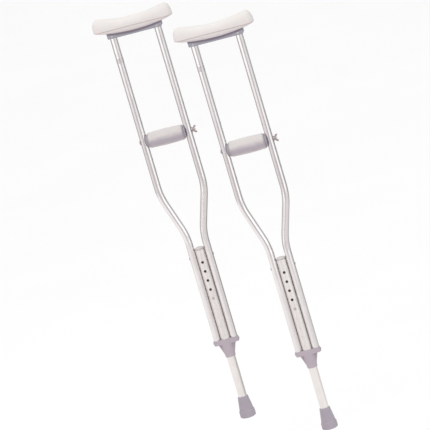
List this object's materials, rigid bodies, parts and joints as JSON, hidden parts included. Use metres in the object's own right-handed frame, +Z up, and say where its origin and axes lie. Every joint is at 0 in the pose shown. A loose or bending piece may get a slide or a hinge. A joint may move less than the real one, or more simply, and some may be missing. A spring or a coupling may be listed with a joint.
{
  "type": "pair of underarm crutches",
  "caption": "Pair of height-adjustable aluminium underarm crutches with padded tops, bolted foam hand grips, push-button legs and rubber tips.",
  "frame": {"origin": "centre of crutch a's rubber tread, where it meets the floor", "axes": "+Z up along the crutch, +X from the left rail to the right rail, -Y the side that the snap button faces"},
  "size_m": [0.5161, 0.436, 1.2476],
  "materials": {
    "polished_rail": "polished",
    "satin_tube": "satin anodised",
    "satin_leg": "satin anodised",
    "cap_plastic": "moulded",
    "bracket_plastic": "moulded, blue-grey",
    "pad_vinyl": "smooth soft vinyl over foam",
    "yoke_plastic": "moulded, mauve-grey",
    "rivet_metal": "domed",
    "blank_band": "plain foil",
    "grip_plastic": "moulded",
    "grip_foam": "closed-cell foam",
    "washer_plastic": "moulded, dark grey",
    "bolt_steel": "zinc plated",
    "nut_bronze": "bronzed, dull",
    "tip_rubber": "matte rubber",
    "spring_steel": "spring steel",
    "button_metal": "plated"
  },
  "bodies": {
    "frame_a": {"left_rail_a": "polished_rail", "right_rail_a": "polished_rail", "centre_tube_a": "satin_tube", "centre_tube_cap_a": "cap_plastic", "saddle_bracket_a": "bracket_plastic", "underarm_pad_a": "pad_vinyl", "yoke_a": "yoke_plastic", "leg_guide_a": "cap_plastic", "frame_rivet_a": "rivet_metal", "yoke_rivet_left_a": "rivet_metal", "yoke_rivet_right_a": "rivet_metal", "bracket_rivet_left_a": "rivet_metal", "bracket_rivet_right_a": "rivet_metal", "label_band_a": "blank_band"},
    "leg_a": {"leg_tube_a": "satin_leg", "rubber_tip_a": "tip_rubber", "tip_disc_a": "bolt_steel", "snap_spring_a": "spring_steel"},
    "button_a": {"snap_button_a": "button_metal"},
    "grip_a": {"grip_core_a": "grip_plastic", "grip_foam_a": "grip_foam", "saddle_washer_left_a": "washer_plastic", "saddle_washer_right_a": "washer_plastic"},
    "bolt_a": {"grip_bolt_a": "bolt_steel"},
    "washer_a": {"flat_washer_a": "bolt_steel"},
    "nut_a": {"wing_nut_a": "nut_bronze"},
    "frame_b": {"left_rail_b": "polished_rail", "right_rail_b": "polished_rail", "centre_tube_b": "satin_tube", "centre_tube_cap_b": "cap_plastic", "saddle_bracket_b": "bracket_plastic", "underarm_pad_b": "pad_vinyl", "yoke_b": "yoke_plastic", "leg_guide_b": "cap_plastic", "frame_rivet_b": "rivet_metal", "yoke_rivet_left_b": "rivet_metal", "yoke_rivet_right_b": "rivet_metal", "bracket_rivet_left_b": "rivet_metal", "bracket_rivet_right_b": "rivet_metal", "label_band_b": "blank_band"},
    "leg_b": {"leg_tube_b": "satin_leg", "rubber_tip_b": "tip_rubber", "tip_disc_b": "bolt_steel", "snap_spring_b": "spring_steel"},
    "button_b": {"snap_button_b": "button_metal"},
    "grip_b": {"grip_core_b": "grip_plastic", "grip_foam_b": "grip_foam", "saddle_washer_left_b": "washer_plastic", "saddle_washer_right_b": "washer_plastic"},
    "bolt_b": {"grip_bolt_b": "bolt_steel"},
    "washer_b": {"flat_washer_b": "bolt_steel"},
    "nut_b": {"wing_nut_b": "nut_bronze"}
  },
  "joints": [
    {"name": "leg_slide_a", "type": "slide", "parent": "frame_a", "child": "leg_a", "axis": [0, 0, -1], "range_m": [-0.1112, 0.1112], "deforming": ["snap_spring_a", "snap_button_a"]},
    {"name": "button_press_a", "type": "slide", "parent": "leg_a", "child": "button_a", "axis": [0, 1, 0], "range_m": [0, 0.005], "stiffness_N_per_m": 1500, "springref_m": -0.004},
    {"name": "grip_height_a", "type": "slide", "parent": "frame_a", "child": "grip_a", "axis": [0, 0, 1], "range_m": [-0.0834, 0.0834]},
    {"name": "bolt_draw_a", "type": "slide", "parent": "grip_a", "child": "bolt_a", "axis": [-1, 0, 0], "range_m": [0, 0.17]},
    {"name": "washer_back_off_a", "type": "slide", "parent": "grip_a", "child": "washer_a", "axis": [1, 0, 0], "range_m": [0, 0.0051]},
    {"name": "nut_spin_a", "type": "hinge", "parent": "washer_a", "child": "nut_a", "pos_m": [0.0822, 0, 0.8625], "axis": [1, 0, 0], "range_deg": [0, 1800]},
    {"name": "second_crutch_lift", "type": "slide", "parent": "frame_a", "child": "frame_b", "axis": [0, 0, 1], "range_m": [0, 0.3]},
    {"name": "leg_slide_b", "type": "slide", "parent": "frame_b", "child": "leg_b", "axis": [0, 0, -1], "range_m": [-0.1112, 0.1112], "deforming": ["snap_spring_b", "snap_button_b"]},
    {"name": "button_press_b", "type": "slide", "parent": "leg_b", "child": "button_b", "axis": [0, 1, 0], "range_m": [0, 0.005], "stiffness_N_per_m": 1500, "springref_m": -0.004},
    {"name": "grip_height_b", "type": "slide", "parent": "frame_b", "child": "grip_b", "axis": [0, 0, 1], "range_m": [-0.0834, 0.0834]},
    {"name": "bolt_draw_b", "type": "slide", "parent": "grip_b", "child": "bolt_b", "axis": [-1, 0, 0], "range_m": [0, 0.17]},
    {"name": "washer_back_off_b", "type": "slide", "parent": "grip_b", "child": "washer_b", "axis": [1, 0, 0], "range_m": [0, 0.0051]},
    {"name": "nut_spin_b", "type": "hinge", "parent": "washer_b", "child": "nut_b", "pos_m": [0.3617, -0.386, 0.8625], "axis": [1, 0, 0], "range_deg": [0, 1800]}
  ],
  "couplings": [
    {"joint": "washer_back_off_a", "follows": "nut_spin_a", "m_per_rad": 0.00015915},
    {"joint": "washer_back_off_b", "follows": "nut_spin_b", "m_per_rad": 0.00015915}
  ]
}
